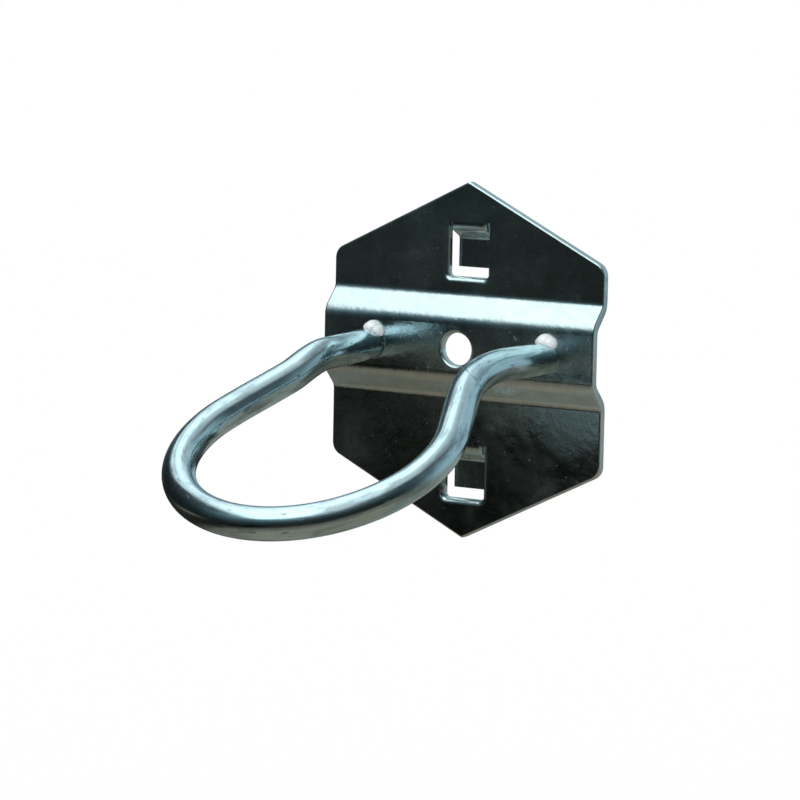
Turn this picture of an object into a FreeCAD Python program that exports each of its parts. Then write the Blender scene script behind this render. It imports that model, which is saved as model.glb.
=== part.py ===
import FreeCAD, Part
import math
import os
import Sketcher

# Hook for a perforated steel panel with square holes: a pressed back plate with
# two hanging tabs, and a bent round rod welded to the raised band across the plate.
# The origin lies midway between the two tabs, on the plane of the plate's back.
# X runs across the plate, Z points up, and the hook reaches forward along -Y.

Vec = FreeCAD.Vector

# Driving sizes, in millimetres and degrees
SIZES = {
    # Outline of the back plate, and the spare strip around it before blanking
    "plate_width": 52.0,
    "plate_height": 61.0,
    "shoulder_height": 35.0,
    "shoulder_round": 2.4,
    "point_round": 0.8,
    "blank_margin": 4.0,
    # Sheet, and the raised band across it
    "thickness": 1.5,
    "rolled_edge": 0.35,
    "band_centre": 2.5,
    "band_face": 10.4,
    "band_rise": 3.4,
    "band_angle": 45.0,
    "band_bend": 1.6,
    # Screw hole in the band
    "hole_diameter": 5.6,
    "hole_height": 2.3,
    "hole_rim": 0.6,
    # Windows, and the tabs that are cut out of them and bent back
    "tab_pitch": 38.0,
    "window_width": 7.5,
    "window_height": 9.5,
    "window_round": 0.6,
    "window_rim": 1.0,
    "tab_clearance": 0.2,
    "tab_bend": 0.5,
    "tab_edge": 0.6,
    "tab_gap": 1.6,
    "tab_angle": 62.0,
    "tab_tip_rise": 1.5,
    "tab_root": 2.0,
    "slit_end": 0.2,
    # Bent rod
    "rod_diameter": 5.5,
    "leg_height": 2.1,
    "leg_spacing": 33.8,
    "bend_spacing": 29.4,
    "leg_length": 21.1,
    "leg_bend": 32.0,
    "loop_angle": 24.9,
    "loop_reach": 26.9,
    "loop_inside": 39.3,
    "end_allowance": 4.0,
    "end_chamfer": 0.4,
    # Weld beads on top of the rod's ends
    "bead_width": 1.5,
    "bead_throat": 1.4,
    "bead_run": 2.0,
    "bead_step_angle": 17.0,
    "left_bead_angle": 16.0,
    "right_bead_angle": 4.0,
}

doc = FreeCAD.newDocument("panel_hook")
sizes = doc.addObject("Spreadsheet::Sheet", "sizes")
for row, (alias, value) in enumerate(SIZES.items(), start=1):
    sizes.set("A%d" % row, alias)
    sizes.set("B%d" % row, str(value))
    sizes.setAlias("B%d" % row, alias)
doc.recompute()


def size(alias):
    """Value of one driving size."""
    return float(sizes.get(alias))


def origin_feature(body, role):
    """One of a body's own origin planes or axes."""
    return [item for item in body.Origin.OriginFeatures if item.Role == role][0]


def add_sketch(body, role, name):
    """New sketch of a body on one of its origin planes."""
    sketch = body.newObject("Sketcher::SketchObject", name)
    sketch.AttachmentSupport = [(origin_feature(body, role), "")]
    sketch.MapMode = "FlatFace"
    return sketch


def add_polygon(sketch, points):
    """Closed outline of straight lines: line i of it runs from point i to the next point."""
    first = sketch.GeometryCount
    count = len(points)
    for i in range(count):
        start = Vec(*points[i], 0)
        end = Vec(*points[(i + 1) % count], 0)
        sketch.addGeometry(Part.LineSegment(start, end), False)
    for i in range(count):
        after = first + (i + 1) % count
        sketch.addConstraint(Sketcher.Constraint("Coincident", first + i, 2, after, 1))
    return first


def dimension(sketch, name, formula, kind, *where):
    """Named dimension of a sketch, tied to the sheet by a formula."""
    value = sketch.evalExpression(formula)
    index = sketch.addConstraint(Sketcher.Constraint(kind, *where, value))
    sketch.renameConstraint(index, name)
    sketch.setExpression("Constraints." + name, formula)


def add_feature(body, kind, name, sketch):
    """Pad or pocket of a sketch, to both sides of its plane."""
    feature = body.newObject("PartDesign::" + kind, name)
    feature.Profile = sketch
    feature.SideType = "Symmetric"
    return feature


def edges_through(feature, points):
    """Names of the edges that pass through the given points, one for each."""
    names = []
    for point in points:
        vertex = Part.Vertex(Vec(*point))
        gaps = [edge.distToShape(vertex)[0] for edge in feature.Shape.Edges]
        nearest = min(range(len(gaps)), key=gaps.__getitem__)
        if gaps[nearest] > 1e-3:
            raise RuntimeError("%s has no edge at %s" % (feature.Name, point))
        names.append("Edge%d" % (nearest + 1))
    return names


def add_fillet(body, name, base, points, formula):
    """Fillet of the edges that pass through the given points."""
    fillet = body.newObject("PartDesign::Fillet", name)
    fillet.Base = (base, edges_through(base, points))
    fillet.setExpression("Radius", formula)
    body.Tip = fillet
    doc.recompute()
    return fillet


# A sketch's own origin and axes, as constraints name them
ROOT = (-1, 1)
LEVEL, UPRIGHT = (-1, -2)


# Back plate: strip with the raised band

def band_corners():
    """Sharp corners of the formed strip's section, as (y, z): front from foot to top, then back."""
    thick = size("thickness")
    rise = size("band_rise")
    centre = size("band_centre")
    half_face = size("band_face") / 2
    slope = math.radians(size("band_angle"))
    half_foot = half_face + rise / math.tan(slope)
    inset = thick * math.tan(slope / 2)
    end = size("plate_height") / 2 + size("blank_margin")
    front = -thick
    return [
        (front, -end),
        (front, centre - half_foot),
        (front - rise, centre - half_face),
        (front - rise, centre + half_face),
        (front, centre + half_foot),
        (front, end),
        (0, end),
        (0, centre + half_foot - inset),
        (-rise, centre + half_face - inset),
        (-rise, centre - half_face + inset),
        (0, centre - half_foot + inset),
        (0, -end),
    ]


def add_strip(body):
    """Formed strip: the band's section, padded across the plate."""
    sketch = add_sketch(body, "YZ_Plane", "band_section")
    add_polygon(sketch, band_corners())
    for line in (0, 2, 4, 6, 8, 10):
        sketch.addConstraint(Sketcher.Constraint("Vertical", line))
    for line in (5, 11):
        sketch.addConstraint(Sketcher.Constraint("Horizontal", line))
    for corner in (6, 11):
        sketch.addConstraint(Sketcher.Constraint("PointOnObject", corner, 1, UPRIGHT))
    sketch.addConstraint(Sketcher.Constraint("Parallel", 1, 9))
    sketch.addConstraint(Sketcher.Constraint("Parallel", 3, 7))
    sketch.addConstraint(Sketcher.Constraint("Equal", 1, 3))
    reach = "sizes.plate_height / 2 + sizes.blank_margin"
    dimension(sketch, "top_end", reach, "DistanceY", *ROOT, 6, 1)
    dimension(sketch, "foot_end", reach, "DistanceY", 11, 1, *ROOT)
    dimension(sketch, "sheet_top", "sizes.thickness", "DistanceX", 5, 1, 6, 1)
    dimension(sketch, "sheet_foot", "sizes.thickness", "DistanceX", 0, 1, 11, 1)
    dimension(sketch, "sheet_band", "sizes.thickness", "DistanceX", 3, 1, 8, 1)
    dimension(sketch, "rise", "sizes.band_rise", "DistanceX", 2, 1, 1, 1)
    dimension(sketch, "face", "sizes.band_face", "DistanceY", 2, 1, 3, 1)
    dimension(sketch, "face_top", "sizes.band_centre + sizes.band_face / 2", "DistanceY", *ROOT, 3, 1)
    dimension(sketch, "slope", "90 deg - sizes.band_angle * 1 deg", "Angle", 3)
    dimension(sketch, "sheet_upper_web", "sizes.thickness", "Distance", 8, 1, 3)
    dimension(sketch, "sheet_lower_web", "sizes.thickness", "Distance", 9, 1, 1)
    strip = add_feature(body, "Pad", "formed_strip", sketch)
    strip.setExpression("Length", "sizes.plate_width + 2 * sizes.blank_margin")
    return strip


# Back plate: blanking to the six-sided outline

def add_outline(body):
    """Cuts away the strip outside the six-sided outline."""
    half_width = size("plate_width") / 2
    half_height = size("plate_height") / 2
    half_shoulder = size("shoulder_height") / 2
    outer_x = half_width + 2 * size("blank_margin")
    outer_z = half_height + 2 * size("blank_margin")
    sketch = add_sketch(body, "XZ_Plane", "outline")
    frame = add_polygon(sketch, [
        (-outer_x, -outer_z),
        (outer_x, -outer_z),
        (outer_x, outer_z),
        (-outer_x, outer_z),
    ])
    for line in (frame, frame + 2):
        sketch.addConstraint(Sketcher.Constraint("Horizontal", line))
    for line in (frame + 1, frame + 3):
        sketch.addConstraint(Sketcher.Constraint("Vertical", line))
    sketch.addConstraint(Sketcher.Constraint("Symmetric", frame, 1, frame + 2, 1, *ROOT))
    dimension(sketch, "frame_width", "sizes.plate_width + 4 * sizes.blank_margin",
              "DistanceX", frame, 1, frame, 2)
    dimension(sketch, "frame_height", "sizes.plate_height + 4 * sizes.blank_margin",
              "DistanceY", frame + 1, 1, frame + 1, 2)
    six = add_polygon(sketch, [
        (0, -half_height),
        (half_width, -half_shoulder),
        (half_width, half_shoulder),
        (0, half_height),
        (-half_width, half_shoulder),
        (-half_width, -half_shoulder),
    ])
    sketch.addConstraint(Sketcher.Constraint("PointOnObject", six, 1, UPRIGHT))
    for lower, upper in ((six, six + 3), (six + 1, six + 2)):
        sketch.addConstraint(Sketcher.Constraint("Symmetric", lower, 1, upper, 1, LEVEL))
    for left, right in ((six + 5, six + 1), (six + 4, six + 2)):
        sketch.addConstraint(Sketcher.Constraint("Symmetric", left, 1, right, 1, UPRIGHT))
    dimension(sketch, "width", "sizes.plate_width", "DistanceX", six + 4, 1, six + 2, 1)
    dimension(sketch, "height", "sizes.plate_height", "DistanceY", six, 1, six + 3, 1)
    dimension(sketch, "shoulders", "sizes.shoulder_height", "DistanceY", six + 1, 1, six + 1, 2)
    cut = add_feature(body, "Pocket", "blanking", sketch)
    cut.Type = "ThroughAll"
    return cut


# Back plate: windows, tabs and screw hole

def add_window(body):
    """Lower window of the plate."""
    half_width = size("window_width") / 2
    half_height = size("window_height") / 2
    middle = -size("tab_pitch") / 2
    sketch = add_sketch(body, "XZ_Plane", "window_outline")
    add_polygon(sketch, [
        (-half_width, middle - half_height),
        (half_width, middle - half_height),
        (half_width, middle + half_height),
        (-half_width, middle + half_height),
    ])
    sketch.addConstraint(Sketcher.Constraint("Symmetric", 0, 1, 0, 2, UPRIGHT))
    sketch.addConstraint(Sketcher.Constraint("Horizontal", 2))
    for line in (1, 3):
        sketch.addConstraint(Sketcher.Constraint("Vertical", line))
    dimension(sketch, "width", "sizes.window_width", "DistanceX", 0, 1, 0, 2)
    dimension(sketch, "height", "sizes.window_height", "DistanceY", 1, 1, 1, 2)
    dimension(sketch, "foot", "(sizes.tab_pitch + sizes.window_height) / 2", "DistanceY", 0, 1, *ROOT)
    window = add_feature(body, "Pocket", "window", sketch)
    window.Type = "ThroughAll"
    return window


def tab_corners(middle):
    """Sharp corners of a tab's section, as (y, z), for a window centred at this height."""
    thick = size("thickness")
    gap = size("tab_gap")
    slope = math.radians(size("tab_angle"))
    half_window = size("window_height") / 2
    root = middle + half_window + size("tab_root")
    bend_run = (size("tab_bend") + thick) * math.tan(slope / 2)
    first_bend = middle + half_window - size("slit_end") - bend_run
    second_bend = first_bend - (thick + gap) / math.tan(slope)
    inset = thick * math.tan(slope / 2)
    tip = middle - half_window + size("tab_tip_rise")
    return [
        (-thick, root),
        (-thick, first_bend),
        (gap, second_bend),
        (gap, tip),
        (gap + thick, tip),
        (gap + thick, second_bend + inset),
        (0, first_bend + inset),
        (0, root),
    ]


def add_tab(body):
    """Lower tab: joggled back behind the panel's sheet, then down."""
    sketch = add_sketch(body, "YZ_Plane", "tab_section")
    add_polygon(sketch, tab_corners(-size("tab_pitch") / 2))
    for line in (0, 2, 4, 6):
        sketch.addConstraint(Sketcher.Constraint("Vertical", line))
    for line in (3, 7):
        sketch.addConstraint(Sketcher.Constraint("Horizontal", line))
    sketch.addConstraint(Sketcher.Constraint("Parallel", 1, 5))
    sketch.addConstraint(Sketcher.Constraint("PointOnObject", 7, 1, UPRIGHT))
    dimension(sketch, "sheet_root", "sizes.thickness", "DistanceX", 0, 1, 7, 1)
    dimension(sketch, "sheet_web", "sizes.thickness", "Distance", 5, 1, 1)
    dimension(sketch, "sheet_tip", "sizes.thickness", "DistanceX", 3, 1, 4, 1)
    dimension(sketch, "gap", "sizes.tab_gap", "DistanceX", *ROOT, 2, 1)
    dimension(sketch, "slope", "sizes.tab_angle * 1 deg - 90 deg", "Angle", 1)
    window_top = "(sizes.tab_pitch - sizes.window_height) / 2"
    bend_run = "(sizes.tab_bend + sizes.thickness) * tan(sizes.tab_angle * 0.5 deg)"
    dimension(sketch, "root", window_top + " - sizes.tab_root", "DistanceY", 0, 1, *ROOT)
    dimension(sketch, "bend", window_top + " + sizes.slit_end + " + bend_run, "DistanceY", 1, 1, *ROOT)
    dimension(sketch, "tip", "(sizes.tab_pitch + sizes.window_height) / 2 - sizes.tab_tip_rise",
              "DistanceY", 3, 1, *ROOT)
    tab = add_feature(body, "Pad", "tab", sketch)
    tab.setExpression("Length", "sizes.window_width - 2 * sizes.tab_clearance")
    return tab


def add_screw_hole(body):
    """Round hole in the middle of the band."""
    sketch = add_sketch(body, "XZ_Plane", "screw_hole_circle")
    circle = Part.Circle(Vec(0, size("hole_height"), 0), Vec(0, 0, 1), size("hole_diameter") / 2)
    sketch.addGeometry(circle, False)
    sketch.addConstraint(Sketcher.Constraint("PointOnObject", 0, 3, UPRIGHT))
    dimension(sketch, "height", "sizes.hole_height", "DistanceY", *ROOT, 0, 3)
    dimension(sketch, "diameter", "sizes.hole_diameter", "Diameter", 0)
    hole = add_feature(body, "Pocket", "screw_hole", sketch)
    hole.Type = "ThroughAll"
    return hole


def build_back_plate():
    """One pressed sheet: band, outline, windows with tabs, screw hole and rolled edge."""
    body = doc.addObject("PartDesign::Body", "back_plate")
    body.Label = "back_plate"
    add_strip(body)
    add_outline(body)
    window = add_window(body)
    tab = add_tab(body)
    doc.recompute()
    pair = body.newObject("PartDesign::LinearPattern", "tab_pair")
    pair.Originals = [window, tab]
    pair.Direction = (origin_feature(body, "Z_Axis"), [""])
    pair.Occurrences = 2
    pair.setExpression("Length", "sizes.tab_pitch")
    body.Tip = pair
    doc.recompute()
    hole = add_screw_hole(body)
    body.Tip = hole
    doc.recompute()

    band = band_corners()
    windows = [-size("tab_pitch") / 2, size("tab_pitch") / 2]
    tabs = [tab_corners(middle) for middle in windows]
    band_inside = [(0, *band[i]) for i in (1, 4, 8, 9)]
    band_outside = [(0, *band[i]) for i in (2, 3, 7, 10)]
    tab_inside = [(0, *corners[i]) for corners in tabs for i in (2, 6)]
    tab_outside = [(0, *corners[i]) for corners in tabs for i in (1, 5)]
    feature = add_fillet(body, "band_inside_bends", hole, band_inside, "sizes.band_bend")
    feature = add_fillet(body, "band_outside_bends", feature, band_outside,
                         "sizes.band_bend + sizes.thickness")
    feature = add_fillet(body, "tab_inside_bends", feature, tab_inside, "sizes.tab_bend")
    feature = add_fillet(body, "tab_outside_bends", feature, tab_outside,
                         "sizes.tab_bend + sizes.thickness")

    half_width = size("plate_width") / 2
    half_shoulder = size("shoulder_height") / 2
    half_height = size("plate_height") / 2
    mid_sheet = -size("thickness") / 2
    shoulders = [(x, mid_sheet, z) for x in (-half_width, half_width)
                 for z in (-half_shoulder, half_shoulder)]
    points = [(0, mid_sheet, z) for z in (-half_height, half_height)]
    feature = add_fillet(body, "shoulder_rounds", feature, shoulders, "sizes.shoulder_round")
    feature = add_fillet(body, "point_rounds", feature, points, "sizes.point_round")
    half_window = size("window_width") / 2
    feet = [middle - size("window_height") / 2 for middle in windows]
    corners = [(x, mid_sheet, z) for x in (-half_window, half_window) for z in feet]
    feature = add_fillet(body, "window_rounds", feature, corners, "sizes.window_round")
    front = -size("thickness")
    outline_side = (half_width, front, half_shoulder - size("shoulder_round") - 0.5)
    feature = add_fillet(body, "rolled_outline", feature, [outline_side], "sizes.rolled_edge")
    window_feet = [(0, front, foot) for foot in feet]
    feature = add_fillet(body, "window_rims", feature, window_feet, "sizes.window_rim")
    half_tab = half_window - size("tab_clearance")
    tab_sides = [(x, size("tab_gap"), foot + size("tab_tip_rise") + size("tab_edge"))
                 for x in (-half_tab, half_tab) for foot in feet]
    feature = add_fillet(body, "tab_edges", feature, tab_sides, "sizes.tab_edge")
    hole_edge = (size("hole_diameter") / 2, front - size("band_rise"), size("hole_height"))
    add_fillet(body, "hole_rim", feature, [hole_edge], "sizes.hole_rim")
    return body


# Bent rod

def unit(vector):
    """Vector of the same direction and length 1."""
    return Vec(vector).multiply(1 / vector.Length)


def mirrored(vector):
    """The same point on the other side of the plate's middle."""
    return Vec(-vector.x, vector.y, vector.z)


def rod_route():
    """Centre line of the rod: leg, bend, slanted run and front arc, and the same back again."""
    half_end = size("leg_spacing") / 2
    half_bend = size("bend_spacing") / 2
    slope = math.radians(size("loop_angle"))
    radius = (size("loop_inside") + size("rod_diameter")) / 2
    end = Vec(half_end, 0, 0)
    corner = Vec(half_bend, -size("leg_length"), 0)
    leg = unit(corner - end)
    start = end - leg * size("end_allowance")

    def on_loop(x, forward):
        """Point of the sloping loop plane, measured forward from the line of the bends."""
        return corner + Vec(x - half_bend, -forward * math.cos(slope), -forward * math.sin(slope))

    # The run leaves the bend on a tangent to the front arc
    reach = size("loop_reach")
    centre_distance = math.hypot(half_bend, reach)
    run_length = math.sqrt(centre_distance ** 2 - radius ** 2)
    heading = math.atan2(reach, -half_bend) - math.atan2(radius, run_length)
    run_x = run_length * math.cos(heading)
    run_forward = run_length * math.sin(heading)
    arc_start = on_loop(half_bend + run_x, run_forward)
    arc_front = on_loop(0, reach + radius)

    # The bend is tangent to the leg and to the run
    run = unit(arc_start - corner)
    half_turn = leg.getAngle(run) / 2
    tangent = size("leg_bend") * math.tan(half_turn)
    bend_start = corner - leg * tangent
    bend_end = corner + run * tangent
    inward = unit(run - leg)
    bend_middle = corner + inward * (size("leg_bend") * (1 / math.cos(half_turn) - 1))

    return Part.Wire([
        Part.LineSegment(start, bend_start).toShape(),
        Part.Arc(bend_start, bend_middle, bend_end).toShape(),
        Part.LineSegment(bend_end, arc_start).toShape(),
        Part.Arc(arc_start, arc_front, mirrored(arc_start)).toShape(),
        Part.LineSegment(mirrored(arc_start), mirrored(bend_end)).toShape(),
        Part.Arc(mirrored(bend_end), mirrored(bend_middle), mirrored(bend_start)).toShape(),
        Part.LineSegment(mirrored(bend_start), mirrored(start)).toShape(),
    ])


def seat_on_band(item):
    """Places a piece, made about the middle of the rod's ends, on the band's front face."""
    item.setExpression("Placement.Base.y", "-(sizes.thickness + sizes.band_rise)")
    item.setExpression("Placement.Base.z", "sizes.leg_height")


def add_face_trim(name):
    """Block behind the band's front face, which cuts pieces off flush with that face."""
    block = doc.addObject("Part::Box", name)
    block.setExpression("Length", "2 * sizes.plate_width")
    block.setExpression("Width", "2 * sizes.end_allowance")
    block.setExpression("Height", "4 * sizes.rod_diameter")
    block.setExpression("Placement.Base.x", "-sizes.plate_width")
    block.setExpression("Placement.Base.z", "-2 * sizes.rod_diameter")
    return block


def add_end_collar(name, side):
    """Ring with a conical hole, which chamfers one rod end; side is -1 for the left end, 1 for the right."""
    outer = "sizes.rod_diameter / 2 + sizes.end_allowance"
    depth = "sizes.end_chamfer + sizes.end_allowance"
    disc = doc.addObject("Part::Cylinder", "%s_disc" % name)
    disc.setExpression("Radius", outer)
    disc.setExpression("Height", depth)
    cone = doc.addObject("Part::Cone", "%s_cone" % name)
    cone.setExpression("Radius1", "sizes.rod_diameter / 2 - sizes.end_chamfer")
    cone.setExpression("Radius2", outer)
    cone.setExpression("Height", depth)
    collar = doc.addObject("Part::Cut", name)
    collar.Base = disc
    collar.Tool = cone
    collar.Placement.Rotation = FreeCAD.Rotation(Vec(1, 0, 0), 90)
    collar.setExpression("Placement.Base.x", "%d * sizes.leg_spacing / 2" % side)
    return collar


def build_hook_rod():
    """Round bar swept along its bent centre line, both ends cut flush with the band and chamfered."""
    route = doc.addObject("Part::Feature", "rod_route")
    route.Shape = rod_route()
    ring = doc.addObject("Part::Circle", "rod_section")
    ring.setExpression("Radius", "sizes.rod_diameter / 2")
    leg = route.Shape.Edges[0]
    ring.Placement = FreeCAD.Placement(leg.valueAt(leg.FirstParameter),
                                       FreeCAD.Rotation(Vec(0, 0, 1), leg.tangentAt(leg.FirstParameter)))
    bar = doc.addObject("Part::Sweep", "bent_bar")
    bar.Sections = [ring]
    bar.Spine = (route, ["Edge%d" % (i + 1) for i in range(len(route.Shape.Edges))])
    bar.Solid = True
    bar.Transition = "Right corner"
    trimmed = doc.addObject("Part::Cut", "trimmed_bar")
    trimmed.Base = bar
    trimmed.Tool = add_face_trim("rod_end_trim")
    collars = doc.addObject("Part::MultiFuse", "end_collars")
    collars.Shapes = [add_end_collar("left_collar", -1), add_end_collar("right_collar", 1)]
    rod = doc.addObject("Part::Cut", "hook_rod")
    rod.Label = "hook_rod"
    rod.Base = trimmed
    rod.Tool = collars
    seat_on_band(rod)
    doc.recompute()
    return rod


# Weld beads: steps round the rod from the bead's middle, and each lump's share of the full size
BEAD_LUMPS = ((-1, 0.65), (0, 1.0), (1, 0.85))


def build_weld(name, side, angle_alias):
    """Lumpy bead over the top of one rod end; side is -1 for the left end, 1 for the right."""
    lumps = []
    for step, share in BEAD_LUMPS:
        lump = doc.addObject("Part::Ellipsoid", "%s_lump" % name)
        lump.setExpression("Radius1", "sizes.bead_throat * %s" % share)
        lump.setExpression("Radius2", "sizes.bead_width * %s" % share)
        lump.setExpression("Radius3", "sizes.bead_run * %s" % share)
        turn = "(sizes.%s + sizes.bead_step_angle * %d) * 1 deg" % (angle_alias, step)
        lump.setExpression("Placement.Base.x", "sizes.rod_diameter / 2 * sin(%s)" % turn)
        lump.setExpression("Placement.Base.z", "sizes.rod_diameter / 2 * cos(%s)" % turn)
        lean = size(angle_alias) + size("bead_step_angle") * step
        lump.Placement.Rotation = FreeCAD.Rotation(Vec(0, 1, 0), lean)
        lumps.append(lump)
    blob = doc.addObject("Part::MultiFuse", "%s_blob" % name)
    blob.Shapes = lumps
    leg = doc.addObject("Part::Cylinder", "%s_leg" % name)
    leg.setExpression("Radius", "sizes.rod_diameter / 2")
    leg.setExpression("Height", "sizes.leg_length")
    toe = math.atan2((size("leg_spacing") - size("bend_spacing")) / 2, size("leg_length"))
    along = Vec(-side * math.sin(toe), -math.cos(toe), 0)
    leg.Placement = FreeCAD.Placement(along * -size("end_allowance"), FreeCAD.Rotation(Vec(0, 0, 1), along))
    clear = doc.addObject("Part::Cut", "%s_over_rod" % name)
    clear.Base = blob
    clear.Tool = leg
    bead = doc.addObject("Part::Cut", name)
    bead.Label = name
    bead.Base = clear
    bead.Tool = add_face_trim("%s_trim" % name)
    bead.setExpression("Placement.Base.x", "%d * sizes.leg_spacing / 2" % side)
    seat_on_band(bead)
    doc.recompute()
    return bead


pieces = [
    build_back_plate(),
    build_hook_rod(),
    build_weld("weld_left", -1, "left_bead_angle"),
    build_weld("weld_right", 1, "right_bead_angle"),
]
doc.recompute()

for item in doc.Objects:
    if "Invalid" in item.State or "Error" in item.State:
        raise RuntimeError("%s could not be computed: %s" % (item.Name, item.State))

os.makedirs("parts", exist_ok=True)
for piece in pieces:
    shape = piece.Shape
    if shape.isNull() or not shape.isValid() or len(shape.Solids) != 1:
        raise RuntimeError("%s is not one valid solid" % piece.Label)
    print("%s: %.1f mm3" % (piece.Label, shape.Volume))
    shape.exportStep("parts/%s.step" % piece.Label)
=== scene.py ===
import math

import bmesh
import bpy
from mathutils import Matrix, Vector


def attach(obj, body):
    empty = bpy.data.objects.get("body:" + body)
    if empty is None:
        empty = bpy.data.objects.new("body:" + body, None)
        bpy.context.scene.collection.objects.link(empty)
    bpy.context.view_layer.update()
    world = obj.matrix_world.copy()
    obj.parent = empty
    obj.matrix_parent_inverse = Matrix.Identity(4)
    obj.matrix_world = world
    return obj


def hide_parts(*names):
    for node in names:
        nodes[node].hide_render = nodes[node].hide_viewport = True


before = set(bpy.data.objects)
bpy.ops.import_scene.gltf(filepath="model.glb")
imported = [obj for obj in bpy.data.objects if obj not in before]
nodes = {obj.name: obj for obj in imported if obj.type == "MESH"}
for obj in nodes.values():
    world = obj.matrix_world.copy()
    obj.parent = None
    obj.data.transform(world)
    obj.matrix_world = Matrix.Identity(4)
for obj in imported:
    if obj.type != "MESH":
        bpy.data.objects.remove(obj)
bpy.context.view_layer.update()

MM = 0.001


# Node helpers

def new_material(name):
    """Material with an empty node tree and its output node."""
    material = bpy.data.materials.new(name)
    material.use_nodes = True
    material.node_tree.nodes.clear()
    out = material.node_tree.nodes.new("ShaderNodeOutputMaterial")
    return material, material.node_tree, out


def add_node(tree, kind, values=None, **settings):
    """Shader node with its settings and its unlinked input values."""
    node = tree.nodes.new("ShaderNode" + kind)
    for key, value in settings.items():
        setattr(node, key, value)
    for key, value in (values or {}).items():
        node.inputs[key].default_value = value
    return node


def ramp(tree, source, stops):
    """Colour ramp of (position, grey or colour) stops, fed by a socket."""
    node = add_node(tree, "ValToRGB")
    band = node.color_ramp
    while len(band.elements) < len(stops):
        band.elements.new(1.0)
    for element, (position, colour) in zip(band.elements, stops):
        element.position = position
        element.color = (*colour, 1) if hasattr(colour, "__len__") else (colour, colour, colour, 1)
    tree.links.new(source, node.inputs["Fac"])
    return node.outputs["Color"]


def noise(tree, vector, scale, detail, roughness, distortion=0.0):
    """Noise value at a coordinate."""
    node = add_node(tree, "TexNoise", {"Scale": scale, "Detail": detail, "Roughness": roughness,
                                       "Distortion": distortion})
    tree.links.new(vector, node.inputs["Vector"])
    return node.outputs["Fac"]


def stretched(tree, vector, scale, turn=(0, 0, 0)):
    """Coordinate scaled by a different amount along each axis."""
    node = add_node(tree, "Mapping", {"Scale": scale, "Rotation": turn})
    tree.links.new(vector, node.inputs["Vector"])
    return node.outputs["Vector"]


def blend(tree, factor, first, second, kind="MIX"):
    """Colour mix of two sockets or colours by a socket or number."""
    node = add_node(tree, "Mix", data_type="RGBA", blend_type=kind)
    for index, value in ((0, factor), (6, first), (7, second)):
        if hasattr(value, "is_output"):
            tree.links.new(value, node.inputs[index])
        else:
            node.inputs[index].default_value = (*value, 1) if hasattr(value, "__len__") else value
    return node.outputs[2]


def add_bump(tree, height, distance, strength, before=None):
    """Bump from a height socket, on top of an earlier bump."""
    node = add_node(tree, "Bump", {"Strength": strength, "Distance": distance})
    tree.links.new(height, node.inputs["Height"])
    if before is not None:
        tree.links.new(before, node.inputs["Normal"])
    return node.outputs["Normal"]


def plated(tree, out, metallic, tone, rough, normal):
    """Surface from its colour, roughness and normal sockets."""
    metal = add_node(tree, "BsdfPrincipled", {"Metallic": metallic})
    tree.links.new(tone, metal.inputs["Base Color"])
    tree.links.new(rough, metal.inputs["Roughness"])
    tree.links.new(normal, metal.inputs["Normal"])
    tree.links.new(metal.outputs["BSDF"], out.inputs["Surface"])


def glowing(tree, out, colour, strength):
    """Surface that gives off light of a colour socket."""
    glow = add_node(tree, "Emission", {"Strength": strength})
    tree.links.new(colour, glow.inputs["Color"])
    tree.links.new(glow.outputs[0], out.inputs["Surface"])


# Materials of the hook

def zinc_sheet():
    """Zinc-plated cold-rolled sheet: cloudy sheen, mottling, small specks and faint scratches."""
    dull_zinc = (0.58, 0.71, 0.745)
    bright_zinc = (0.73, 0.855, 0.885)
    warm_zinc = (0.78, 0.785, 0.73)
    pale_speck = (0.90, 0.93, 0.94)
    scratch_roughness = (0.40, 0.40, 0.40)
    speck_roughness = (0.50, 0.50, 0.50)
    material, tree, out = new_material("zinc_sheet_plating")
    place = add_node(tree, "TexCoord").outputs["Object"]
    clouds = noise(tree, place, scale=90, detail=5, roughness=0.6, distortion=0.6)
    patches = noise(tree, stretched(tree, place, (1, 1, 1.6)), scale=34, detail=3, roughness=0.5)
    mottle = noise(tree, place, scale=520, detail=4, roughness=0.65)
    grain = noise(tree, place, scale=2600, detail=3, roughness=0.6)
    speckle = noise(tree, place, scale=1300, detail=2, roughness=0.5)
    specks = ramp(tree, speckle, [(0.68, 0.0), (0.78, 0.7)])
    leaning = stretched(tree, place, (900, 900, 45), turn=(0, 0.5, 0))
    scratches = noise(tree, leaning, scale=1.0, detail=3, roughness=0.6)
    lines = ramp(tree, scratches, [(0.66, 0.0), (0.78, 0.25)])
    tone = ramp(tree, clouds, [(0.30, dull_zinc), (0.70, bright_zinc)])
    warm = ramp(tree, patches, [(0.42, 0.0), (0.70, 0.55)])
    tone = blend(tree, warm, tone, warm_zinc)
    shade = ramp(tree, mottle, [(0.30, 0.82), (0.70, 1.0)])
    tone = blend(tree, 1.0, tone, shade, "MULTIPLY")
    tone = blend(tree, specks, tone, pale_speck)
    rough = ramp(tree, clouds, [(0.35, 0.13), (0.72, 0.31)])
    rough = blend(tree, lines, rough, scratch_roughness)
    rough = blend(tree, specks, rough, speck_roughness)
    normal = add_bump(tree, grain, distance=0.02 * MM, strength=0.25)
    normal = add_bump(tree, mottle, distance=0.06 * MM, strength=0.8, before=normal)
    normal = add_bump(tree, clouds, distance=0.2 * MM, strength=0.12, before=normal)
    normal = add_bump(tree, specks, distance=0.04 * MM, strength=0.4, before=normal)
    plated(tree, out, 1.0, tone, rough, normal)
    return material


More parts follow.
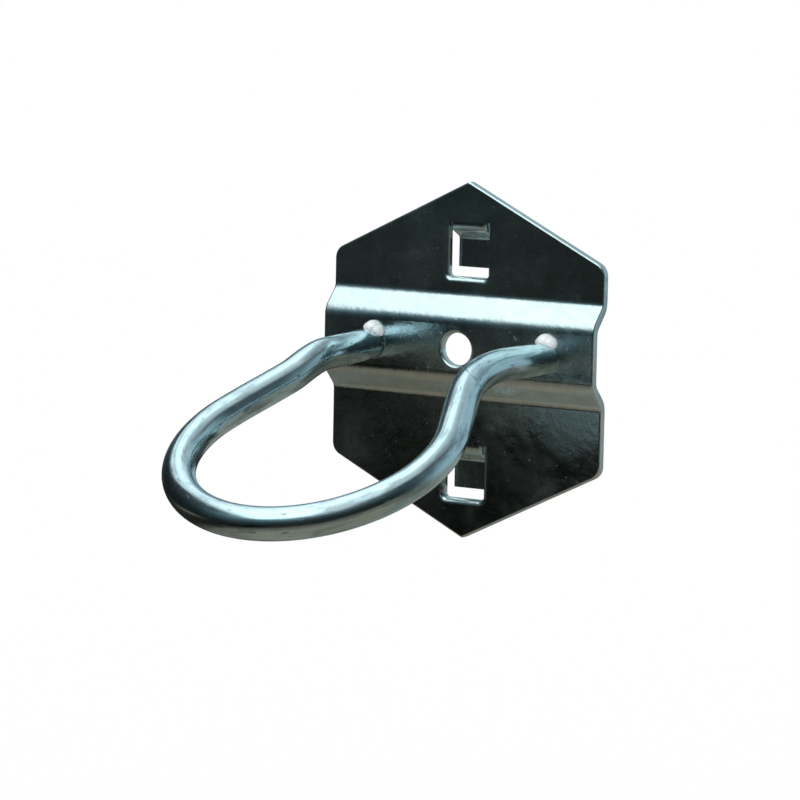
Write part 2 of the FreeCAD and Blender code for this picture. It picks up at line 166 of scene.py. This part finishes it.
def ring_mark(tree, place, at, width, lean):
    """1 on a narrow line round the rod, at one place along it and leaning by two slopes."""
    along = add_node(tree, "VectorMath", {1: (1, *lean)}, operation="DOT_PRODUCT")
    tree.links.new(place, along.inputs[0])
    share = add_node(tree, "MapRange", {"From Min": at - width, "From Max": at + width})
    tree.links.new(along.outputs["Value"], share.inputs["Value"])
    return ramp(tree, share.outputs["Result"], [(0.0, 0.0), (0.25, 0.0), (0.5, 1.0), (0.75, 0.0)])


def zinc_rod():
    """Zinc-plated drawn rod: fine lines, smudges and rubbed dashes along it, and two press marks."""
    dull_zinc = (0.575, 0.755, 0.82)
    bright_zinc = (0.71, 0.88, 0.935)
    smudge_grey = (0.33, 0.40, 0.43)
    rub_grey = (0.32, 0.38, 0.41)
    mark_grey = (0.40, 0.48, 0.52)
    smudge_roughness = (0.26, 0.26, 0.26)
    rub_roughness = (0.45, 0.45, 0.45)
    material, tree, out = new_material("zinc_rod_plating")
    place = add_node(tree, "Attribute", attribute_name="along").outputs["Vector"]
    solid = add_node(tree, "TexCoord").outputs["Object"]
    draw_lines = noise(tree, stretched(tree, place, (45, 2600, 2600)), scale=1.0, detail=3, roughness=0.6)
    ripples = noise(tree, stretched(tree, place, (110, 420, 420)), scale=1.0, detail=3, roughness=0.5)
    stains = noise(tree, stretched(tree, place, (95, 380, 380)), scale=1.0, detail=4, roughness=0.6)
    smudges = ramp(tree, stains, [(0.52, 0.0), (0.66, 1.0)])
    clouds = noise(tree, solid, scale=260, detail=4, roughness=0.6)
    dashes = noise(tree, stretched(tree, place, (330, 1900, 1900)), scale=1.0, detail=2, roughness=0.5)
    rubs = ramp(tree, dashes, [(0.64, 0.0), (0.73, 1.0)])
    right_mark = ring_mark(tree, place, at=23.7 * MM, width=0.4 * MM, lean=(1.20, 0.59))
    left_mark = ring_mark(tree, place, at=147.2 * MM, width=0.6 * MM, lean=(0.12, 0.21))
    marks = blend(tree, 0.35, right_mark, left_mark, "ADD")
    tone = ramp(tree, clouds, [(0.30, dull_zinc), (0.70, bright_zinc)])
    shade = ramp(tree, draw_lines, [(0.30, 0.84), (0.70, 1.0)])
    tone = blend(tree, 1.0, tone, shade, "MULTIPLY")
    tone = blend(tree, smudges, tone, smudge_grey)
    tone = blend(tree, rubs, tone, rub_grey)
    tone = blend(tree, marks, tone, mark_grey)
    rough = ramp(tree, clouds, [(0.30, 0.13), (0.70, 0.20)])
    rough = blend(tree, smudges, rough, smudge_roughness)
    rough = blend(tree, rubs, rough, rub_roughness)
    dents = ramp(tree, marks, [(0.0, 1.0), (1.0, 0.0)])
    normal = add_bump(tree, draw_lines, distance=0.02 * MM, strength=0.16)
    normal = add_bump(tree, ripples, distance=0.12 * MM, strength=0.09, before=normal)
    normal = add_bump(tree, clouds, distance=0.12 * MM, strength=0.12, before=normal)
    normal = add_bump(tree, dents, distance=0.06 * MM, strength=0.6, before=normal)
    plated(tree, out, 1.0, tone, rough, normal)
    return material


def weld_metal_painted_highlight():
    """Plated weld bead with a painted highlight: white and mostly matt all over in place of the lamp's
    glare, with painted shade in the hollows of its lumpy skin, and small grey pits.
    """
    # Near-white colours are a painted highlight; the hollows get the dimmer one, as painted shade
    hollow_painted_shade = (0.87, 0.95, 0.98)
    lump_painted_highlight = (0.95, 0.99, 1.0)
    pit_grey = (0.58, 0.65, 0.68)
    material, tree, out = new_material("weld_bead_plating_painted_highlight")
    place = add_node(tree, "TexCoord").outputs["Object"]
    lumps = noise(tree, place, scale=1300, detail=4, roughness=0.6, distortion=0.4)
    pitting = noise(tree, place, scale=1100, detail=2, roughness=0.5)
    pits = ramp(tree, pitting, [(0.66, 0.0), (0.72, 1.0)])
    # Painted shade and highlight: the low places of the lump bump get the dimmer white, the raised ones the
    # whiter one
    tone = ramp(tree, lumps, [(0.30, hollow_painted_shade), (0.55, lump_painted_highlight)])
    tone = blend(tree, pits, tone, pit_grey)
    rough = ramp(tree, lumps, [(0.35, 0.36), (0.65, 0.50)])
    normal = add_bump(tree, lumps, distance=0.3 * MM, strength=0.2)
    # Mostly matt, so the painted white shows as a highlight from every side
    plated(tree, out, 0.12, tone, rough, normal)
    return material


def set_material(item, material):
    """Gives a piece one material."""
    item.data.materials.clear()
    item.data.materials.append(material)


# Bent rod: a finer tube on the solid's centre line, with a coordinate that runs along it
# Its sizes are those of the solid, in millimetres and degrees
THICKNESS = 1.5
BAND_RISE = 3.4
ROD_DIAMETER = 5.5
LEG_HEIGHT = 2.1
LEG_SPACING = 33.8
BEND_SPACING = 29.4
LEG_LENGTH = 21.1
LEG_BEND = 32.0
LOOP_ANGLE = 24.9
LOOP_REACH = 26.9
LOOP_INSIDE = 39.3
END_CHAMFER = 0.4
BAND_FACE = -(THICKNESS + BAND_RISE)

# The tube is thinner by a hair, so that it stays inside the box of the solid's coarser mesh
SKIN_GAP = 0.008
ROD_RADIUS = ROD_DIAMETER / 2 - SKIN_GAP

# Kink of the left leg, which the solid lacks: a rise and then a dip, by length from the left end
KINK_RISE = 0.36
RISE_AT = 18.5
RISE_SPREAD = 3.6
KINK_DIP = 0.55
DIP_AT = 27.0
DIP_SPREAD_LEG = 3.4
DIP_SPREAD_LOOP = 9.0

# Steps of the mesh: round the rod, and along each straight, bend and half of the loop
RING = 64
STRAIGHT_STEPS = 24
BEND_STEPS = 40
LOOP_STEPS = 110


def straight_points(start, end):
    """Points of a straight line, with both its ends."""
    return [start.lerp(end, i / STRAIGHT_STEPS) for i in range(STRAIGHT_STEPS + 1)]


def arc_points(first_axis, second_axis, centre, radius, begin, finish, count):
    """Points of an arc in the plane of two unit directions, between two angles and without its ends."""
    angles = [begin + (finish - begin) * i / count for i in range(1, count)]
    return [centre + radius * (math.cos(angle) * first_axis + math.sin(angle) * second_axis)
            for angle in angles]


def running_lengths(line):
    """Length along a line at each of its points."""
    lengths = [0.0]
    for a, b in zip(line, line[1:]):
        lengths.append(lengths[-1] + (b - a).length)
    return lengths


def swell(place, middle, spread):
    """Smooth swell of height 1 round one place."""
    return math.exp(-((place - middle) / spread) ** 2)


def rod_line():
    """Centre line of the rod in millimetres, from the right end to the left, with the left leg's kink."""
    half_end = LEG_SPACING / 2
    half_bend = BEND_SPACING / 2
    slope = math.radians(LOOP_ANGLE)
    radius = (LOOP_INSIDE + ROD_DIAMETER) / 2
    end = Vector((half_end, 0, 0))
    corner = Vector((half_bend, -LEG_LENGTH, 0))
    leg = (corner - end).normalized()
    down = Vector((0, -math.cos(slope), -math.sin(slope)))
    across = Vector((1, 0, 0))
    centre = Vector((0, -LEG_LENGTH, 0)) + down * LOOP_REACH
    centre_distance = math.hypot(half_bend, LOOP_REACH)
    run_length = math.sqrt(centre_distance ** 2 - radius ** 2)
    heading = math.atan2(LOOP_REACH, -half_bend) - math.atan2(radius, run_length)
    arc_start = corner + across * (run_length * math.cos(heading)) + down * (run_length * math.sin(heading))
    run = (arc_start - corner).normalized()
    half_turn = leg.angle(run) / 2
    tangent = LEG_BEND * math.tan(half_turn)
    bend_start = corner - leg * tangent
    bend_end = corner + run * tangent
    inward = (run - leg).normalized()
    bend_centre = corner + inward * (LEG_BEND / math.cos(half_turn))
    spoke = (bend_start - bend_centre).normalized()

    points = straight_points(end, bend_start)
    points += arc_points(spoke, leg, bend_centre, LEG_BEND, 0, 2 * half_turn, BEND_STEPS)
    points += straight_points(bend_end, arc_start)
    first = math.atan2((arc_start - centre).dot(down), (arc_start - centre).dot(across))
    points += arc_points(across, down, centre, radius, first, math.pi / 2, LOOP_STEPS)
    half = points + [centre + down * radius]
    whole = half + [Vector((-p.x, p.y, p.z)) for p in reversed(half[:-1])]
    lift = Vector((0, BAND_FACE, LEG_HEIGHT))
    line = [p + lift for p in whole]
    lengths = running_lengths(line)
    for point, length in zip(line, lengths):
        from_left = lengths[-1] - length
        dip_spread = DIP_SPREAD_LEG if from_left < DIP_AT else DIP_SPREAD_LOOP
        point.z += KINK_RISE * swell(from_left, RISE_AT, RISE_SPREAD)
        point.z -= KINK_DIP * swell(from_left, DIP_AT, dip_spread)
    return line


def end_rings(point, tangent, spokes):
    """Two rings of a chamfered end: one flush with the band's face, one on the rod's skin."""
    at_face = []
    at_skin = []
    for spoke in spokes:
        inner = point + spoke * (ROD_RADIUS - END_CHAMFER)
        outer = point + spoke * ROD_RADIUS
        at_face.append(inner + tangent * ((BAND_FACE - inner.y) / tangent.y))
        at_skin.append(outer + tangent * ((BAND_FACE - END_CHAMFER - outer.y) / tangent.y))
    return at_face, at_skin


def rod_rings(turns):
    """Rings of points along the rod, each with its length along it."""
    line = rod_line()
    last = len(line) - 1
    tangents = [(line[min(i + 1, last)] - line[max(i - 1, 0)]).normalized() for i in range(last + 1)]
    side = tangents[0].cross(Vector((0, 0, 1))).normalized()
    rings = []
    for i, length in enumerate(running_lengths(line)):
        point = line[i]
        tangent = tangents[i]
        side = (side - tangent * side.dot(tangent)).normalized()
        other = tangent.cross(side)
        spokes = [math.cos(turn) * side + math.sin(turn) * other for turn in turns]
        if i in (0, last):
            at_face, at_skin = end_rings(point, tangent, spokes)
            inset = END_CHAMFER if i == 0 else -END_CHAMFER
            pair = [(at_face, length), (at_skin, length + inset)]
            rings += pair if i == 0 else pair[::-1]
        else:
            rings.append(([point + spoke * ROD_RADIUS for spoke in spokes], length))
    return rings


def build_rod():
    """Tube mesh along the rod's centre line, both ends flush with the band and chamfered."""
    turns = [2 * math.pi * k / RING for k in range(RING)]
    mesh = bmesh.new()
    layer = mesh.verts.layers.float_vector.new("along")
    made = []
    for ring, length in rod_rings(turns):
        made.append([mesh.verts.new(p * MM) for p in ring])
        for vertex, turn in zip(made[-1], turns):
            unrolled = Vector((length, ROD_RADIUS * math.cos(turn), ROD_RADIUS * math.sin(turn)))
            vertex[layer] = unrolled * MM
    for first, second in zip(made, made[1:]):
        for k in range(RING):
            face = mesh.faces.new((first[k], second[k], second[(k + 1) % RING], first[(k + 1) % RING]))
            face.smooth = True
    for ring in (made[0], made[-1]):
        mesh.faces.new(ring)
    bmesh.ops.recalc_face_normals(mesh, faces=mesh.faces)
    for ring in (made[0], made[1], made[-1], made[-2]):
        for k in range(RING):
            mesh.edges.get((ring[k], ring[(k + 1) % RING])).smooth = False
    data = bpy.data.meshes.new("bent_rod")
    mesh.to_mesh(data)
    mesh.free()
    rod = bpy.data.objects.new("bent_rod", data)
    bpy.context.scene.collection.objects.link(rod)
    return rod


set_material(nodes["back_plate"], zinc_sheet())
# Both weld beads get the material with the painted highlight and painted shade in its hollows
bead = weld_metal_painted_highlight()
for name in ("weld_left", "weld_right"):
    set_material(nodes[name], bead)
rod = build_rod()
set_material(rod, zinc_rod())
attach(rod, "root")
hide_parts("hook_rod")


# Stage: pale floor, white surroundings, and studio cards that only mirrored rays show
ACROSS = (1, 0, 0)
INWARD = (0, 1, 0)
UPWARD = (0, 0, 1)


def add_stage(name, vertices, faces, material, seen=True):
    """Mesh that isn't part of the object; a card that isn't seen still shows in the metal."""
    data = bpy.data.meshes.new(name)
    data.from_pydata(vertices, [], faces)
    item = bpy.data.objects.new(name, data)
    item.data.materials.append(material)
    for ray in ("camera", "diffuse", "shadow", "transmission", "volume_scatter"):
        setattr(item, "visible_" + ray, seen)
    bpy.context.scene.collection.objects.link(item)


def quad(x0, x1, y0, y1, z):
    """Level rectangle."""
    return [(x0, y0, z), (x1, y0, z), (x1, y1, z), (x0, y1, z)], [(0, 1, 2, 3)]


def swept_card(profile, begin, finish, count):
    """Profile of (radius, height) turned about the upright axis, between two angles in degrees."""
    vertices = []
    for i in range(count + 1):
        angle = math.radians(begin + (finish - begin) * i / count)
        vertices += [(r * math.cos(angle), r * math.sin(angle), z) for r, z in profile]
    wide = len(profile)
    faces = [(i * wide + j, i * wide + j + 1, (i + 1) * wide + j + 1, (i + 1) * wide + j)
             for i in range(count) for j in range(wide - 1)]
    return vertices, faces


def background_rays(tree):
    """1 for rays that show the background: from the camera, or mirrored or seen through."""
    path = add_node(tree, "LightPath")
    first = add_node(tree, "Math", operation="MAXIMUM")
    tree.links.new(path.outputs["Is Camera Ray"], first.inputs[0])
    tree.links.new(path.outputs["Is Glossy Ray"], first.inputs[1])
    second = add_node(tree, "Math", operation="MAXIMUM")
    tree.links.new(first.outputs[0], second.inputs[0])
    tree.links.new(path.outputs["Is Transmission Ray"], second.inputs[1])
    return second.outputs[0]


def floor_material():
    """Pale floor that takes shadows and reads as white, and is clear from below."""
    pale = 0.86
    material, tree, out = new_material("pale_floor")
    matt = add_node(tree, "BsdfDiffuse", {"Color": (pale, pale, pale, 1)})
    glow = add_node(tree, "Emission")
    level = add_node(tree, "MapRange", {"To Min": 0.0, "To Max": 1 - pale})
    tree.links.new(background_rays(tree), level.inputs["Value"])
    tree.links.new(level.outputs["Result"], glow.inputs["Strength"])
    both = add_node(tree, "AddShader")
    tree.links.new(matt.outputs[0], both.inputs[0])
    tree.links.new(glow.outputs[0], both.inputs[1])
    one_sided = add_node(tree, "MixShader")
    tree.links.new(add_node(tree, "NewGeometry").outputs["Backfacing"], one_sided.inputs[0])
    tree.links.new(both.outputs[0], one_sided.inputs[1])
    tree.links.new(add_node(tree, "BsdfTransparent").outputs[0], one_sided.inputs[2])
    tree.links.new(one_sided.outputs[0], out.inputs["Surface"])
    return material


def placed_ramp(tree, direction, stops):
    """Colour ramp along a direction of the stage, with its stops at places in metres."""
    along = add_node(tree, "VectorMath", {1: direction}, operation="DOT_PRODUCT")
    tree.links.new(add_node(tree, "NewGeometry").outputs["Position"], along.inputs[0])
    first = stops[0][0]
    last = stops[-1][0]
    share = add_node(tree, "MapRange", {"From Min": first, "From Max": last})
    tree.links.new(along.outputs["Value"], share.inputs["Value"])
    shares = [((at - first) / (last - first), colour) for at, colour in stops]
    return ramp(tree, share.outputs["Result"], shares)


def wall_material():
    """Dim surroundings: dark at the sides, a faint blue glow high in front, paler at the back."""
    material, tree, out = new_material("studio_wall")
    depth = placed_ramp(tree, (0.3, 1, 0), [
        (-1.4, (0.016, 0.021, 0.022)), (-0.5, (0.012, 0.016, 0.016)), (0.05, (0.014, 0.019, 0.019)),
        (0.40, (0.06, 0.08, 0.085)), (0.63, (0.14, 0.19, 0.20)), (1.0, (0.36, 0.50, 0.55)),
        (1.4, (0.48, 0.66, 0.72))])
    front = placed_ramp(tree, INWARD, [(-1.4, 1.0), (-1.0, 1.0), (-0.6, 0.25), (0.0, 0.1), (1.4, 0.0)])
    height = placed_ramp(tree, UPWARD, [
        (-0.2, (0, 0, 0)), (0.12, (0.01, 0.016, 0.018)), (0.45, (0.06, 0.10, 0.115)),
        (0.75, (0.20, 0.32, 0.36)), (1.5, (0.30, 0.42, 0.46))])
    lift = blend(tree, 1.0, front, height, "MULTIPLY")
    glowing(tree, out, blend(tree, 1.0, depth, lift, "ADD"), strength=0.8)
    return material


def ground_material():
    """Table top below the hook: tan near it, dark in front and to the left, paler behind."""
    material, tree, out = new_material("studio_ground")
    depth = placed_ramp(tree, INWARD, [
        (-1.1, (0.066, 0.063, 0.047)), (-0.92, (0.058, 0.056, 0.042)),
        (-0.72, (0.003, 0.006, 0.006)), (-0.45, (0.045, 0.045, 0.040)),
        (-0.30, (0.16, 0.15, 0.12)), (-0.17, (0.31, 0.285, 0.225)), (-0.05, (0.36, 0.32, 0.24)),
        (0.02, (0.27, 0.28, 0.24)), (0.12, (0.38, 0.38, 0.33)), (0.7, (0.48, 0.53, 0.53))])
    aside = placed_ramp(tree, ACROSS, [
        (-0.6, 1.0), (-0.35, 0.10), (-0.16, 0.08), (-0.11, 0.85), (-0.075, 0.65), (-0.05, 1.0), (0.6, 0.8)])
    corner = placed_ramp(tree, (1, -1, 0), [(-1.1, 0.05), (-0.55, 0.12), (-0.38, 1.0)])
    edges = blend(tree, 1.0, aside, corner, "MULTIPLY")
    glowing(tree, out, blend(tree, 1.0, depth, edges, "MULTIPLY"), strength=0.78)
    return material


def overhead_material():
    """Broad lamp above: brightest in front and to the left, weaker towards its right rear corner."""
    material, tree, out = new_material("overhead_card")
    depth = placed_ramp(tree, INWARD, [
        (-0.98, (0.08, 0.13, 0.15)), (-0.86, (0.44, 0.60, 0.64)), (-0.76, (0.90, 1.0, 1.0)),
        (0.05, (0.90, 1.0, 1.0)), (0.45, (0.68, 0.78, 0.81))])
    aside = placed_ramp(tree, ACROSS, [(-0.50, 0.12), (-0.39, 1.0), (0.34, 1.0), (0.50, 0.2)])
    corner = placed_ramp(tree, (1, 0.56, 0), [
        (0.0, 1.0), (0.04, 0.78), (0.10, 0.54), (0.25, 0.38), (0.47, 0.2)])
    edges = blend(tree, 1.0, aside, corner, "MULTIPLY")
    glowing(tree, out, blend(tree, 1.0, depth, edges, "MULTIPLY"), strength=1.6)
    return material


def rear_material():
    """Second lamp, high behind: brightest at the left rear and weaker towards both its ends."""
    material, tree, out = new_material("rear_card")
    aside = placed_ramp(tree, ACROSS, [
        (-1.1, (0.40, 0.46, 0.48)), (-0.85, (0.76, 0.85, 0.87)), (-0.65, (0.92, 1.0, 1.0)),
        (-0.48, (0.76, 0.86, 0.88)), (-0.22, (0.50, 0.58, 0.61)), (0.35, (0.30, 0.38, 0.41))])
    glowing(tree, out, aside, strength=1.3)
    return material


# Places on the stage in metres, and profiles of (radius, height)
FLOOR_REACH = 30
FLOOR = -0.13
GROUND = FLOOR + 0.002
GROUND_DISC = [(0.0, GROUND), (1.4, GROUND)]
WALL = [(1.3, GROUND), (1.35, 0.2), (1.3, 0.6), (1.1, 1.0), (0.7, 1.35), (0.0, 1.5)]
REAR = [(1.10, 0.72), (0.72, 1.10)]
floor = quad(-FLOOR_REACH, FLOOR_REACH, -FLOOR_REACH, FLOOR_REACH, FLOOR)
ground = swept_card(GROUND_DISC, begin=0, finish=360, count=64)
wall = swept_card(WALL, begin=0, finish=360, count=64)
overhead = quad(x0=-0.50, x1=0.50, y0=-0.98, y1=0.45, z=0.55)
rear = swept_card(REAR, begin=70, finish=165, count=20)
add_stage("floor", *floor, floor_material())
add_stage("ground_card", *ground, ground_material(), seen=False)
add_stage("wall_card", *wall, wall_material(), seen=False)
add_stage("overhead_card", *overhead, overhead_material(), seen=False)
add_stage("rear_card", *rear, rear_material(), seen=False)

world = bpy.data.worlds.new("studio")
bpy.context.scene.world = world
world.use_nodes = True
tree = world.node_tree
tree.nodes.clear()
sky = add_node(tree, "Background", {"Color": (1, 1, 1, 1)})
tree.links.new(sky.outputs[0], add_node(tree, "OutputWorld").inputs["Surface"])


# Camera at the photograph's viewing angle, from a fit to it
azimuth = math.radians(29.743)
elevation = math.radians(7.552)
roll = math.radians(1.115)
distance = 0.69888
target = Vector((-0.013463, 0, -0.007950))
focal_pixels = 4062.97
photo_width_pixels = 800
sensor_width_mm = 36
back = Vector((math.sin(azimuth) * math.cos(elevation), -math.cos(azimuth) * math.cos(elevation),
               math.sin(elevation)))
right = Vector((math.cos(azimuth), math.sin(azimuth), 0))
up = Vector((-math.sin(azimuth) * math.sin(elevation), math.cos(azimuth) * math.sin(elevation),
             math.cos(elevation)))
camera_right = math.cos(roll) * right + math.sin(roll) * up
camera_up = -math.sin(roll) * right + math.cos(roll) * up
lens = bpy.data.cameras.new("camera")
lens.sensor_width = sensor_width_mm
lens.lens = focal_pixels * sensor_width_mm / photo_width_pixels
lens.clip_start = 0.01
lens.clip_end = 100
camera = bpy.data.objects.new("camera", lens)
camera.matrix_world = (Matrix.Translation(target + back * distance)
                       @ Matrix((camera_right, camera_up, back)).transposed().to_4x4())
bpy.context.scene.collection.objects.link(camera)
bpy.context.scene.camera = camera
bpy.context.scene.view_settings.view_transform = "Standard"
